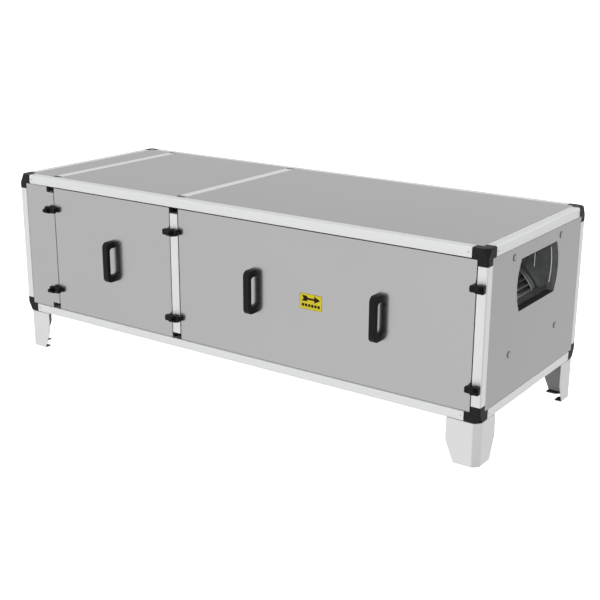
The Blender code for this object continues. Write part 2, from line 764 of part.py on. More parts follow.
def make_filter_guides():
    """Channels across the unit that the filter slides into, on the profile lips."""
    inside = FILTER_T / 2 + FIT
    outside = inside + GUIDE_T
    loop = [(-outside, 0), (outside, 0), (outside, GUIDE_H), (inside, GUIDE_H),
            (inside, GUIDE_T), (-inside, GUIDE_T), (-inside, GUIDE_H), (-outside, GUIDE_H)]
    half = DEPTH / 2 - TUBE - FIT
    lift = SEAT + LIP_T + FIT
    for name, w, upward in (("filter_guide_bottom", lift, Z),
                            ("filter_guide_top", FRAME_H - lift, -Z)):
        mesh = outline_mesh([loop], -half, half)
        make_object(name, mesh, axes(X, upward, at(FILTER_MID, CENTRE_V, w)), GALVANISED)


def make_filter():
    width = DEPTH - 2 * (TUBE + FIT)
    height = FRAME_H - 2 * (SEAT + LIP_T + GUIDE_T + 2 * FIT)
    inner_w, inner_h = width - 2 * FILTER_BORDER, height - 2 * FILTER_BORDER
    loops = [rectangle(width, height), rectangle(inner_w, inner_h)]
    place = axes(Y, Z, at(FILTER_MID, CENTRE_V, FRAME_H / 2))
    mesh = outline_mesh(loops, -FILTER_T / 2, FILTER_T / 2)
    make_object("filter_frame", mesh, place, GALVANISED)
    span, tall = inner_w - 2 * FIT, inner_h - 2 * FIT
    mesh = outline_mesh([pleat_loop(span)], -tall / 2, tall / 2)
    place = axes(X, Y, at(FILTER_MID, CENTRE_V, FRAME_H / 2))
    make_object("filter_media", mesh, place, MEDIA)


def rectangle(width, height):
    x, y = width / 2, height / 2
    return [(-x, -y), (x, -y), (x, y), (-x, y)]


def pleat_loop(span):
    """A zigzag sheet across the filter, seen from above."""
    folds = 2 * round(span / PLEAT_PITCH)
    reach = FILTER_T / 2 - FIT
    front, back = [], []
    for fold in range(folds + 1):
        y = -span / 2 + span * fold / folds
        x = -reach if fold % 2 else reach - PLEAT_SHEET
        front.append((x, y))
        back.append((x + PLEAT_SHEET, y))
    return front + back[::-1]


make_frame()
make_bars()
make_front_panels()
make_fixed_panels()
make_end_panels()
make_handles()
make_clamps()
make_legs()
make_fan_housing()
make_fan_wheel()
make_fan_motor()
make_filter_guides()
make_filter()
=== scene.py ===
"""The looks of the air filtration unit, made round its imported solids.

Metres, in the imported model's own frame: X runs along the unit to the outlet end,
the access side faces -Y and the floor is at Z = 0.
"""

import math
from itertools import product

import bmesh
import bpy
from mathutils import Matrix, Vector


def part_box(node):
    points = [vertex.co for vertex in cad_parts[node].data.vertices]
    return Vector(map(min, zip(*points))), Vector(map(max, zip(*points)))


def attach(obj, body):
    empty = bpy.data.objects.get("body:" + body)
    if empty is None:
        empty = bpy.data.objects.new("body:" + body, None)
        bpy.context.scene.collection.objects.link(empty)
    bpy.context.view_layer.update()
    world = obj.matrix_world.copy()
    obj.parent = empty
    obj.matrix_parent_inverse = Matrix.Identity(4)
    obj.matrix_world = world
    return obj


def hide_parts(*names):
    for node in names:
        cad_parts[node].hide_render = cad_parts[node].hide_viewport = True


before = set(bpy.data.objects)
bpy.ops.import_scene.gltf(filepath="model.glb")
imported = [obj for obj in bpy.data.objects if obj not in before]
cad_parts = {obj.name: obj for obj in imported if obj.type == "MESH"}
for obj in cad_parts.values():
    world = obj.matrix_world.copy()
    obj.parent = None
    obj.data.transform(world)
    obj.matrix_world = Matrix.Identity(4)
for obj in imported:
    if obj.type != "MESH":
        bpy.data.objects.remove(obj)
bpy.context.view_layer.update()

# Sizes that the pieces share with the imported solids
TUBE = 0.030
TUBE_R = 0.0045
SEAT = 0.0253
LIP = 0.015
LIP_T = 0.002
CORNER_REACH = 0.050
FIT = 0.0003
BAR_W = 0.032
T_JOINT = 0.020
T_PROUD = 0.0003
PANEL_T = 0.025
LAP = 0.0023
DOOR_GAP = 0.003
VERTEX_CUT = 0.018
VERTEX_CUT_Z = 0.036
OUTLET_DROP = 0.1505
OUTLET_H = 0.157
OUTLET_R = 0.149

X, Y, Z = Vector((1, 0, 0)), Vector((0, 1, 0)), Vector((0, 0, 1))
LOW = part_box("corner_front_left_bottom")[0]
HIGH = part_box("corner_back_right_top")[1]
LENGTH, DEPTH, HEIGHT = HIGH - LOW


def at(u, v, w):
    """A point from the frame's left end, front face and underside."""
    return LOW + Vector((u, v, w))


def axes(first, second, origin):
    """A placement whose local X and Y run along the two given directions."""
    turn = Matrix((first, second, first.cross(second))).transposed()
    return Matrix.Translation(origin) @ turn.to_4x4()


# Node helpers and shader groups


def put_in(tree, source, socket):
    """Links a socket to a node's output, or gives it a constant."""
    if isinstance(source, bpy.types.NodeSocket):
        tree.links.new(source, socket)
    else:
        socket.default_value = source


def wire(tree, kind, links=None, **settings):
    """Adds a node, sets its properties and fills its inputs."""
    node = tree.nodes.new(kind)
    for key, value in settings.items():
        setattr(node, key, value)
    for key, source in (links or {}).items():
        put_in(tree, source, node.inputs[key])
    return node


def feed(tree, kind, links=None, **settings):
    """Adds a node as wire does, and returns its first output."""
    return wire(tree, kind, links, **settings).outputs[0]


def reckon(tree, operation, *values, clamp=False):
    """The result of a maths node."""
    return feed(tree, "ShaderNodeMath", dict(enumerate(values)), operation=operation,
                use_clamp=clamp)


def open_tree(name, kind, inputs, outputs):
    """A node tree with named sockets; returns the tree, its inputs and its outputs."""
    tree = bpy.data.node_groups.new(name, kind)
    for way, sockets in (("INPUT", inputs), ("OUTPUT", outputs)):
        for label, holds in sockets.items():
            tree.interface.new_socket(label, in_out=way, socket_type="NodeSocket" + holds)
    return tree, tree.nodes.new("NodeGroupInput").outputs, tree.nodes.new("NodeGroupOutput").inputs


def open_shading(name, inputs, outputs):
    return open_tree(name, "ShaderNodeTree", inputs, outputs)


def noise(tree, entry, detail):
    """The outputs of a noise on the group's own vector and scale."""
    return wire(tree, "ShaderNodeTexNoise", {"Vector": entry["Vector"], "Scale": entry["Scale"],
                                             "Detail": detail}).outputs


def swing(tree, cloud, middle, amount):
    """Spreads a noise value from middle - amount to middle + amount."""
    return feed(tree, "ShaderNodeMapRange", {
        "Value": cloud, "From Min": 0.3, "From Max": 0.7,
        "To Min": reckon(tree, "SUBTRACT", middle, amount),
        "To Max": reckon(tree, "ADD", middle, amount)})


def make_tone_drift():
    """Slow cloudy change of a colour's brightness."""
    tree, entry, leave = open_shading(
        "tone_drift", {"Color": "Color", "Vector": "Vector", "Scale": "Float", "Amount": "Float"},
        {"Color": "Color"})
    level = swing(tree, noise(tree, entry, 4.0)["Fac"], 1.0, entry["Amount"])
    tinted = feed(tree, "ShaderNodeVectorMath", {0: entry["Color"], "Scale": level},
                  operation="SCALE")
    tree.links.new(tinted, leave["Color"])
    return tree


def make_fine_grain():
    """Small even texture, as a height and as a change of roughness."""
    tree, entry, leave = open_shading(
        "fine_grain", {"Vector": "Vector", "Scale": "Float", "Roughness": "Float",
                       "Spread": "Float"},
        {"Height": "Float", "Roughness": "Float"})
    speck = noise(tree, entry, 2.0)["Fac"]
    tree.links.new(speck, leave["Height"])
    tree.links.new(swing(tree, speck, entry["Roughness"], entry["Spread"]), leave["Roughness"])
    return tree


def make_edge_highlight_mask():
    """A mask that is bright where an edge turns within the given radius, for painting highlights
    along rounded edges.
    """
    tree, entry, leave = open_shading("painted_edge_highlight", {"Radius": "Float", "Gain": "Float"},
                                      {"Mask": "Float"})
    around = feed(tree, "ShaderNodeBevel", {"Radius": entry["Radius"]}, samples=4)
    here = wire(tree, "ShaderNodeNewGeometry").outputs["Normal"]
    same = wire(tree, "ShaderNodeVectorMath", {0: around, 1: here}, operation="DOT_PRODUCT")
    turned = reckon(tree, "SUBTRACT", 1.0, same.outputs["Value"])
    tree.links.new(reckon(tree, "MULTIPLY", turned, entry["Gain"], clamp=True), leave["Mask"])
    return tree


def make_drawn_lines():
    """Fine lines left by drawing, where the vector is stretched one way."""
    tree, entry, leave = open_shading("drawn_lines", {"Vector": "Vector", "Scale": "Float"},
                                      {"Height": "Float"})
    tree.links.new(noise(tree, entry, 5.0)["Fac"], leave["Height"])
    return tree


def make_spangle():
    """Crystal flakes of a zinc coating: each cell has its own brightness."""
    tree, entry, leave = open_shading("spangle", {"Vector": "Vector", "Scale": "Float"},
                                      {"Value": "Float"})
    bend = (0.006,) * 3
    bent = feed(tree, "ShaderNodeVectorMath", {0: noise(tree, entry, 1.0)["Color"], 1: bend,
                                               2: entry["Vector"]}, operation="MULTIPLY_ADD")
    cells = wire(tree, "ShaderNodeTexVoronoi", {"Vector": bent, "Scale": entry["Scale"]})
    shade = feed(tree, "ShaderNodeSeparateColor", {"Color": cells.outputs["Color"]})
    tree.links.new(shade, leave["Value"])
    return tree


TONE_DRIFT = make_tone_drift()
FINE_GRAIN = make_fine_grain()
EDGE_HIGHLIGHT_MASK = make_edge_highlight_mask()
DRAWN_LINES = make_drawn_lines()
SPANGLE = make_spangle()


class Finish:
    """A material whose colour, roughness and relief are built up step by step."""

    def __init__(self, name, color, roughness, metallic=0.0, shine=0.5, stretch=(1, 1, 1)):
        self.material = bpy.data.materials.new(name)
        self.material.use_nodes = True
        self.tree = self.material.node_tree
        self.shader = self.tree.nodes["Principled BSDF"].inputs
        self.base, self.color = color, (*color, 1.0)
        self.roughness, self.reliefs = roughness, []
        self.shader["Metallic"].default_value = metallic
        self.shader["Specular IOR Level"].default_value = shine
        self.place = wire(self.tree, "ShaderNodeTexCoord").outputs["Object"]
        self.along = feed(self.tree, "ShaderNodeMapping", {"Vector": self.place, "Scale": stretch})
        self.material.diffuse_color = self.color

    def placed(self, group, links):
        return wire(self.tree, "ShaderNodeGroup", links, node_tree=group).outputs

    def mixed(self, mask, first, second):
        return wire(self.tree, "ShaderNodeMix", {0: mask, 6: first, 7: second},
                    data_type="RGBA").outputs[2]

    def vary(self, mask, amount):
        """Runs from a darker to a lighter base colour as the mask rises."""
        dark, light = [[*(c * level for c in self.base), 1.0] for level in (1 - amount, 1 + amount)]
        self.color = self.mixed(mask, dark, light)
        return self

    def drift(self, scale, amount):
        self.color = self.placed(TONE_DRIFT, {"Color": self.color, "Vector": self.place,
                                              "Scale": scale, "Amount": amount})["Color"]
        return self

    def grain(self, scale, spread, depth):
        made = self.placed(FINE_GRAIN, {"Vector": self.place, "Scale": scale,
                                        "Roughness": self.roughness, "Spread": spread})
        self.roughness = made["Roughness"]
        self.reliefs.append((made["Height"], depth))
        return self

    def lines(self, scale, depth, amount):
        height = self.placed(DRAWN_LINES, {"Vector": self.along, "Scale": scale})["Height"]
        self.reliefs.append((height, depth))
        return self.vary(height, amount)

    def spangle(self, scale, amount):
        flakes = self.placed(SPANGLE, {"Vector": self.place, "Scale": scale})
        return self.vary(flakes["Value"], amount)

    def paint_edge_highlight(self, radius, gain, tint, share):
        """Paints a highlight: lightens the colour towards a tint along rounded edges."""
        mask = self.placed(EDGE_HIGHLIGHT_MASK, {"Radius": radius, "Gain": gain})["Mask"]
        highlight_share = reckon(self.tree, "MULTIPLY", mask, share)
        self.color = self.mixed(highlight_share, self.color, (*tint, 1.0))
        return self

    def done(self, distance=0.0004):
        """Links up the shader; distance is the depth of the relief."""
        links, below = {"Base Color": self.color, "Roughness": self.roughness}, {}
        for height, depth in self.reliefs:
            links["Normal"] = feed(self.tree, "ShaderNodeBump", {
                "Height": height, "Strength": depth, "Distance": distance, **below})
            below = {"Normal": links["Normal"]}
        for key, source in links.items():
            put_in(self.tree, source, self.shader[key])
        return self.material


def grey(level):
    return (level,) * 3


def profile_finish(name, stretch):
    """Satin anodised aluminium with drawing lines along the profile."""
    finish = Finish(name, (0.82, 0.825, 0.83), 0.44, 0.58, 0.4, stretch)
    return finish.lines(1.0, 0.06, 0.035).grain(1500.0, 0.04, 0.03).done()


ALUMINIUM = {"x": profile_finish("aluminium_along_x", (3, 700, 700)),
             "y": profile_finish("aluminium_along_y", (700, 3, 700)),
             "z": profile_finish("aluminium_along_z", (700, 700, 3))}
# The lighter tints along rounded edges in these finishes are painted highlights.
PANEL = Finish("grey_panel_coating", (0.467, 0.467, 0.468), 0.22, 0.9, 0.4).drift(
    2.2, 0.012).grain(1100.0, 0.05, 0.05).paint_edge_highlight(0.0015, 3.0, grey(0.56), 0.35).done()
CORNER = Finish("corner_plastic", (0.010, 0.010, 0.0105), 0.5, 0.0, 0.2).drift(
    14.0, 0.10).grain(2600.0, 0.06, 0.22).paint_edge_highlight(0.0016, 5.0, grey(0.05), 0.5).done()
FITTING = Finish("fitting_plastic", (0.0065, 0.0065, 0.007), 0.42, 0.0, 0.16).drift(
    20.0, 0.12).grain(2400.0, 0.06, 0.16).paint_edge_highlight(0.0018, 5.0, grey(0.035), 0.5).done()
RUBBER = Finish("door_seal_rubber", grey(0.012), 0.8).drift(30.0, 0.2).grain(
    1800.0, 0.08, 0.3).done()
LEG = Finish("leg_sheet_coating", (0.77, 0.77, 0.775), 0.36, 0.7, 0.4).drift(5.0, 0.02).grain(
    1000.0, 0.05, 0.06).paint_edge_highlight(0.0022, 3.0, grey(0.80), 0.4).done()
# Darker grey for the inner faces of the legs: painted shade for the shadow under the unit.
LEG_INSIDE_PAINTED_SHADE = Finish("leg_inside_painted_shade", grey(0.20), 0.6, 0.2, 0.3).drift(8.0, 0.06).grain(
    900.0, 0.06, 0.12).done()
ZINC = Finish("galvanised_sheet", (0.46, 0.47, 0.48), 0.42, 0.7).spangle(110.0, 0.10).grain(
    700.0, 0.08, 0.05).paint_edge_highlight(0.0015, 4.0, grey(0.62), 0.5).done()
STEEL = Finish("zinc_plated_steel", (0.62, 0.62, 0.61), 0.32, 0.85).drift(60.0, 0.08).grain(
    1900.0, 0.08, 0.08).paint_edge_highlight(0.0008, 4.0, grey(0.8), 0.5).done()
WASHER = Finish("grey_fibre_washer", grey(0.23), 0.7).drift(40.0, 0.1).grain(
    1400.0, 0.06, 0.2).done()
MOTOR = Finish("motor_enamel", (0.055, 0.075, 0.095), 0.4, 0.1).drift(12.0, 0.08).grain(
    1300.0, 0.06, 0.14).paint_edge_highlight(0.0016, 4.0, (0.20, 0.22, 0.24), 0.5).done()
MEDIA = Finish("filter_fleece", (0.74, 0.74, 0.70), 0.92).drift(9.0, 0.06).grain(
    520.0, 0.05, 0.8).done(0.0008)
LABEL = Finish("yellow_label_film", (0.79, 0.66, 0.04), 0.38, 0.0, 0.3).drift(25.0, 0.03).grain(
    1500.0, 0.05, 0.03).done()
PRINT = Finish("brown_black_print", (0.020, 0.011, 0.003), 0.6, 0.0, 0.1).drift(
    60.0, 0.15).grain(1500.0, 0.05, 0.05).done()


# Mesh helpers


def arc(x, y, radius, start, end, steps):
    """Points along an arc, from the start angle to the end angle in degrees."""
    angles = [math.radians(start + (end - start) * step / steps) for step in range(steps + 1)]
    return [(x + radius * math.cos(a), y + radius * math.sin(a)) for a in angles]


def rounded(width, height, radius, steps=4):
    """A rectangle with round corners, about its centre."""
    x, y = width / 2 - radius, height / 2 - radius
    return (arc(x, y, radius, 0, 90, steps) + arc(-x, y, radius, 90, 180, steps)
            + arc(-x, -y, radius, 180, 270, steps) + arc(x, -y, radius, 270, 360, steps))


def linked(name, data):
    """A new object in the scene for a mesh, a lamp or a camera."""
    thing = bpy.data.objects.new(name, data)
    bpy.context.scene.collection.objects.link(thing)
    return thing


def cleaned(work):
    """Joins a bmesh's doubled points and turns its faces outwards."""
    bmesh.ops.remove_doubles(work, verts=work.verts, dist=0.000005)
    bmesh.ops.recalc_face_normals(work, faces=work.faces)
    return work


def mesh_of(work):
    mesh = bpy.data.meshes.new("shape")
    work.to_mesh(mesh)
    work.free()
    return mesh


def shaded(mesh, angle):
    """The mesh with smooth shading, apart from edges sharper than the angle."""
    mesh.shade_smooth()
    mesh.set_sharp_from_angle(angle=math.radians(angle))
    return mesh


def mesh_from(build, placement=None, angle=35):
    """A mesh from a function that fills a bmesh, put in place and shaded."""
    work = bmesh.new()
    build(work)
    cleaned(work)
    if placement:
        bmesh.ops.transform(work, matrix=placement, verts=work.verts)
        if placement.is_negative:
            bmesh.ops.reverse_faces(work, faces=work.faces)
    return shaded(mesh_of(work), angle)


def sleeve(*loops, ends=False):
    """Fills a bmesh with a band through loops of points, closed or with two ends."""
    def build(work):
        rings = [[work.verts.new(point) for point in loop] for loop in loops]
        if ends:
            work.faces.new(rings[0])
            work.faces.new(rings[-1])
        for here, there in zip(rings, rings[1:] if ends else rings[1:] + rings[:1]):
            for i in range(len(here)):
                j = (i + 1) % len(here)
                work.faces.new((here[i], here[j], there[j], there[i]))
    return build


def prism(outline, low, high):
    """Fills a bmesh with an outline thickened along local Z."""
    return sleeve(*([(x, y, level) for x, y in outline] for level in (low, high)), ends=True)


def lathe(outline, steps=48):
    """Fills a bmesh with an outline of (radius, height) points turned round local Z."""
    def build(work):
        turns = [2 * math.pi * step / steps for step in range(steps)]
        rings = [[work.verts.new((r * math.cos(a), r * math.sin(a), z)) for r, z in outline]
                 for a in turns]
        for here, there in zip(rings, rings[1:] + rings[:1]):
            for i in range(len(outline)):
                j = (i + 1) % len(outline)
                if max(outline[i][0], outline[j][0]) > 1e-6:
                    work.faces.new((here[i], here[j], there[j], there[i]))
    return build


def several(*builds):
    """Fills a bmesh with several shapes, each cleaned on its own."""
    def build(work):
        for one in builds:
            part = bmesh.new()
            one(part)
            mesh = mesh_of(cleaned(part))
            work.from_mesh(mesh)
            bpy.data.meshes.remove(mesh)
    return build


def taken(holder):
    """The plain mesh that an object's modifiers make; the object is removed."""
    graph = bpy.context.evaluated_depsgraph_get()
    mesh = bpy.data.meshes.new_from_object(holder.evaluated_get(graph))
    bpy.data.objects.remove(holder)
    return mesh


def modified(mesh, kind, **settings):
    """The plain mesh that one modifier makes of a mesh."""
    holder = linked("holder", mesh)
    step = holder.modifiers.new("step", kind)
    for key, value in settings.items():
        setattr(step, key, value)
    return taken(holder)


def softened(mesh, width, segments=2, angle=30):
    """The mesh with its sharp edges rounded."""
    return modified(mesh, "BEVEL", width=width, segments=segments, limit_method="ANGLE",
                    angle_limit=math.radians(angle), harden_normals=False)


def show(name, mesh, material, body="unit", replaced=()):
    """Puts a finished mesh in the scene as a piece that rides on a body."""
    # Normals that keep large faces flat beside rounded edges
    mesh = modified(mesh, "WEIGHTED_NORMAL", keep_sharp=True)
    mesh.name = name
    if material:
        mesh.materials.clear()
        mesh.materials.append(material)
    piece = linked(name, mesh)
    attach(piece, body)
    if replaced:
        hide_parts(*replaced)


# Frame


def profile_section():
    """Section of the edge profile with a lip behind each of its two panels."""
    back, tip, nick = SEAT + LIP_T, TUBE + LIP, 0.0007
    outer = arc(TUBE_R, TUBE_R, TUBE_R, 180, 270, 10)
    outer += [(TUBE - nick, 0), (TUBE, nick), (TUBE, SEAT), (tip, SEAT), (tip, back)]
    outer += [(TUBE, back), (TUBE, TUBE), (back, TUBE), (back, tip), (SEAT, tip), (SEAT, TUBE)]
    outer += [(nick, TUBE), (0, TUBE - nick)]
    return outer


def show_rail(name, node, middle, first, second, span, axis):
    half = span / 2 - CORNER_REACH - FIT
    mesh = mesh_from(prism(profile_section(), -half, half), axes(first, second, middle))
    show(name, mesh, ALUMINIUM[axis], replaced=(node,))


def along_outer_edge(edge):
    """True for an edge on one of the three outer edges that meet at the vertex."""
    return any(all(abs(v.co[i]) < 1e-4 and abs(v.co[j]) < 1e-4 for v in edge.verts)
               for i, j in ((0, 1), (1, 2), (0, 2)))


def corner_build(work):
    """Three arms that meet at a vertex, which is rounded and then cut off."""
    bmesh.ops.create_cube(work, size=TUBE)
    bmesh.ops.translate(work, verts=work.verts, vec=(TUBE / 2,) * 3)
    for axis in (X, Y, Z):
        work.faces.ensure_lookup_table()
        end = max(work.faces, key=lambda face: face.calc_center_median().dot(axis))
        made = bmesh.ops.extrude_face_region(work, geom=[end])["geom"]
        moved = [item for item in made if isinstance(item, bmesh.types.BMVert)]
        bmesh.ops.delete(work, geom=[end], context="FACES_ONLY")
        bmesh.ops.translate(work, verts=moved, vec=axis * (CORNER_REACH - TUBE))
    outer = [edge for edge in work.edges if along_outer_edge(edge)]
    bmesh.ops.bevel(work, geom=outer, offset=TUBE_R, segments=8, profile=0.5, affect="EDGES")
    normal = Vector((1 / VERTEX_CUT, 1 / VERTEX_CUT, 1 / VERTEX_CUT_Z)).normalized()
    cut = bmesh.ops.bisect_plane(work, geom=work.verts[:] + work.edges[:] + work.faces[:],
                                 dist=1e-6, clear_inner=True, plane_co=(VERTEX_CUT, 0, 0),
                                 plane_no=normal)
    rim = [item for item in cut["geom_cut"] if isinstance(item, bmesh.types.BMEdge)]
    bmesh.ops.contextual_create(work, geom=rim)


def show_corner(name, node, vertex, x_in, y_in, z_in):
    mirrored = x_in.cross(y_in).dot(z_in) < 0
    first, second = (y_in, x_in) if mirrored else (x_in, y_in)
    mesh = softened(mesh_from(corner_build, axes(first, second, vertex)), 0.0009, 2, 38)
    show(name, shaded(mesh, 40), CORNER, replaced=(node,))


def show_frame():
    sides = {"front": (0, Y), "back": (DEPTH, -Y)}
    ends = {"left": (0, X), "right": (LENGTH, -X)}
    levels = {"bottom": (0, Z), "top": (HEIGHT, -Z)}
    for level, (w, z_in) in levels.items():
        for side, (v, y_in) in sides.items():
            show_rail(f"profile_{side}_{level}", f"rail_{side}_{level}",
                      at(LENGTH / 2, v, w), y_in, z_in, LENGTH, "x")
        for end, (u, x_in) in ends.items():
            show_rail(f"profile_{end}_{level}", f"rail_{end}_{level}",
                      at(u, DEPTH / 2, w), x_in, z_in, DEPTH, "y")
    for side, (v, y_in) in sides.items():
        for end, (u, x_in) in ends.items():
            show_rail(f"upright_{side}_{end}", f"post_{side}_{end}",
                      at(u, v, HEIGHT / 2), x_in, y_in, HEIGHT, "z")
            for level, (w, z_in) in levels.items():
                show_corner(f"cap_{side}_{end}_{level}", f"corner_{side}_{end}_{level}",
                            at(u, v, w), x_in, y_in, z_in)


def bar_section(set_back):
    """Section of a bar between two panels: a ribbed web with a lip behind each panel."""
    half, nick = BAR_W / 2, 0.0007
    tip, back = half + LIP, SEAT + LIP_T
    face = [(-half, set_back + nick), (-half + nick, set_back)]
    face += [(half - nick, set_back), (half, set_back + nick)]
    return face + [(half, SEAT), (tip, SEAT), (tip, back), (-tip, back), (-tip, SEAT),
                   (-half, SEAT)]


def joint_build(start, end):
    """A plastic T-joint: a moulded block with a shallow step round its face."""
    half = BAR_W / 2 + T_PROUD
    tall, step = end - start, 0.0012
    block = prism(rounded(2 * half, tall, 0.0012, 3), 0.0, PANEL_T + T_PROUD - 0.0005)
    face = prism(rounded(2 * half - 2 * step, tall - 2 * step, 0.0010, 3),
                 PANEL_T + T_PROUD - 0.0005, PANEL_T + T_PROUD)
    return several(block, face)


def show_bar(name, node, middle, across, inward, span, axis, set_back=0.0):
    end = span / 2 - TUBE - FIT
    start = end - T_JOINT
    mesh = mesh_from(prism(bar_section(set_back), -start + FIT, start - FIT),
                     axes(across, inward, middle))
    show(name, mesh, ALUMINIUM[axis], replaced=(node,))
    run = across.cross(inward)
    for number, sign in enumerate((-1, 1), 1):
        centre = middle + run * sign * (start + end) / 2 + inward * PANEL_T
        mesh = mesh_from(joint_build(start, end), axes(across, -across.cross(inward), centre))
        mesh = softened(mesh, 0.0005, 2, 50)
        show(f"joint_{name}_{number}", mesh, CORNER)


def show_bars(positions):
    for number, u in enumerate(positions, 1):
        lapped = LAP if number == 1 else 0.0
        show_bar(f"bar_front_{number}", f"mullion_front_{number}", at(u, 0, HEIGHT / 2),
                 X, Y, HEIGHT, "z", lapped)
        show_bar(f"bar_back_{number}", f"mullion_back_{number}", at(u, DEPTH, HEIGHT / 2),
                 X, -Y, HEIGHT, "z")
        show_bar(f"bar_top_{number}", f"crossbar_top_{number}", at(u, DEPTH / 2, HEIGHT),
                 X, -Z, DEPTH, "y")


def middle_of(node, axis):
    low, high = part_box(node)
    return (low[axis] + high[axis]) / 2


BAR_US = [middle_of(f"mullion_front_{number}", 0) - LOW.x for number in (1, 2)]
show_frame()
show_bars(BAR_US)

COATED = {PANEL: ("panel_", "door_", "inlet_panel", "outlet_panel"), MOTOR: ("fan_motor",),
          ZINC: ("fan_housing", "filter_guide", "filter_frame")}
for node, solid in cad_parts.items():
    for finish, starts in COATED.items():
        if node.startswith(starts):
            solid.data.materials.clear()
            solid.data.materials.append(finish)


# Door seals


def show_seal(name, door):
    """A soft black strip in the gap round a door, well behind its face."""
    low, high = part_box(door)
    gap = DOOR_GAP - 2 * FIT
    start, end = 0.012, PANEL_T - 0.001

    def loop(past, level):
        width, height = high.x - low.x + 2 * past, high.z - low.z + 2 * past
        return [(x, y, level) for x, y in rounded(width, height, 0.0005, 2)]

    near, far, round_off = FIT, FIT + gap, gap / 4
    band = sleeve(loop(near + round_off, start), loop(near, start + round_off), loop(near, end),
                  loop(far, end), loop(far, start + round_off), loop(far - round_off, start))
    centre = Vector(((low.x + high.x) / 2, low.y, (low.z + high.z) / 2))
    mesh = mesh_from(band, Matrix.Translation(centre) @ Matrix.Rotation(-math.pi / 2, 4, "X"))
    show(name, mesh, RUBBER)


def show_rest(name, door):
    """The strip that a door stands on, which nearly fills the gap under it."""
    low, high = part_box(door)
    tall, near, deep, nick = DOOR_GAP - 2 * FIT, 0.0022, 0.0112, 0.0004
    outline = [(near, nick), (near + nick, 0), (deep, 0), (deep, tall), (near + nick, tall),
               (near, tall - nick)]
    half = (high.x - low.x) / 2 - 0.001
    middle = Vector(((low.x + high.x) / 2, low.y, low.z - FIT - tall))
    show(name, mesh_from(prism(outline, -half, half), axes(Y, Z, middle)), PANEL)


for kind in ("filter", "fan"):
    show_seal(f"seal_{kind}_door", "door_" + kind)
    show_rest(f"rest_{kind}_door", "door_" + kind)


# Outlet


def side_band(inner, outer, half, middle):
    """Outline of a curved band along one side of the outlet, between two radii."""
    far = math.degrees(math.asin(half / outer))
    near = math.degrees(math.asin(half / inner))
    return (arc(0, 0, outer, middle - far, middle + far, 16)
            + arc(0, 0, inner, middle + near, middle - near, 16))


def bead_loops(radius, swell, half, middle, level):
    """Half-round sections along a side of the outlet, for a bead on its lining."""
    spread, steps, sunk = math.degrees(math.asin(half / radius)), 16, 0.0002
    loops = []
    for step in range(steps + 1):
        a = math.radians(middle - spread + 2 * spread * step / steps)
        section = [(radius + sunk - rise, level + run)
                   for run, rise in arc(0, 0, swell, 0, 180, 8)]
        loops.append([(r * math.cos(a), r * math.sin(a), z) for r, z in section])
    return loops


def show_outlet_edging():
    """Black strips over the flat cut edges, and zinc linings with a bead at the sides."""
    place = axes(Y, Z, at(LENGTH, DEPTH / 2, HEIGHT - OUTLET_DROP))
    skin, half, proud = 0.0014, OUTLET_H / 2, 0.0002
    bead, bead_half, bead_level = 0.0026, 0.056, -0.0222
    wide = math.sqrt((OUTLET_R - FIT) ** 2 - half ** 2) - 0.001
    strips, linings, beads = [], [], []
    for sign, middle in ((1, 0), (-1, 180)):
        strip = [(-wide, sign * (half - FIT)), (wide, sign * (half - FIT)),
                 (wide, sign * (half - skin)), (-wide, sign * (half - skin))]
        strips.append(prism(strip, -PANEL_T, proud))
        linings.append(prism(side_band(OUTLET_R - skin, OUTLET_R - FIT, half - skin - FIT, middle),
                             -PANEL_T, proud))
        loops = bead_loops(OUTLET_R - skin, bead, bead_half, middle, bead_level)
        beads.append(sleeve(*loops, ends=True))
    show("outlet_edging", mesh_from(several(*strips), place), RUBBER)
    show("outlet_side_linings", mesh_from(several(*linings), place), ZINC)
    show("outlet_beads", mesh_from(several(*beads), place, 50), STEEL)


def show_throat_seams():
    """A half-round lock seam up each side wall of the fan's throat."""
    wall, along, middle, tall, swell = OUTLET_R + 0.002 - FIT, 1.752, 0.380, 0.088, 0.0024
    seam = prism(arc(0, 0, swell, 0, 180, 8), -tall / 2, tall / 2)
    for name, side in (("front", -1), ("back", 1)):
        place = axes(X * side, -Y * side, at(along, DEPTH / 2 + side * wall, middle))
        mesh = softened(mesh_from(seam, place), 0.0005, 2, 60)
        show("throat_seam_" + name, mesh, STEEL)


show_outlet_edging()
show_throat_seams()


# Handles


def handle_outline(length, reach):
    grip, foot, bend = 0.015, 0.022, 0.018
    half, under = length / 2, reach - grip
    inside, small = half - foot, 0.009
    line = [(-half, FIT), (-inside, FIT)]
    line += arc(-inside + small, under - small, small, 180, 90, 8)
    line += arc(inside - small, under - small, small, 90, 0, 8)
    line += [(inside, FIT), (half, FIT)]
    line += arc(half - bend, reach - bend, bend, 0, 90, 12)
    line += arc(-half + bend, reach - bend, bend, 90, 180, 12)
    return line


def show_handle(node):
    """A moulded bridge handle with a rounded grip and flat feet."""
    low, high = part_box(node)
    length, reach, width = high.z - low.z, high.y - low.y + FIT, high.x - low.x
    shape = prism(handle_outline(length, reach), -width / 2, width / 2)

    def build(work):
        shape(work)
        bmesh.ops.recalc_face_normals(work, faces=work.faces)
        rims = [edge for edge in work.edges
                if abs(edge.verts[0].co.z - edge.verts[1].co.z) < 1e-6
                and max(v.co.y for v in edge.verts) > 2 * FIT]
        bmesh.ops.bevel(work, geom=rims, offset=0.0022, segments=4, profile=0.5,
                        affect="EDGES", clamp_overlap=True)

    centre = Vector(((low.x + high.x) / 2, high.y + FIT, (low.z + high.z) / 2))
    mesh = mesh_from(build, axes(Z, -Y, centre), 45)
    show("grip_" + node, mesh, FITTING, replaced=(node,))


for name in ("handle_filter", "handle_fan_left", "handle_fan_right"):
    show_handle(name)


# Turn clamps


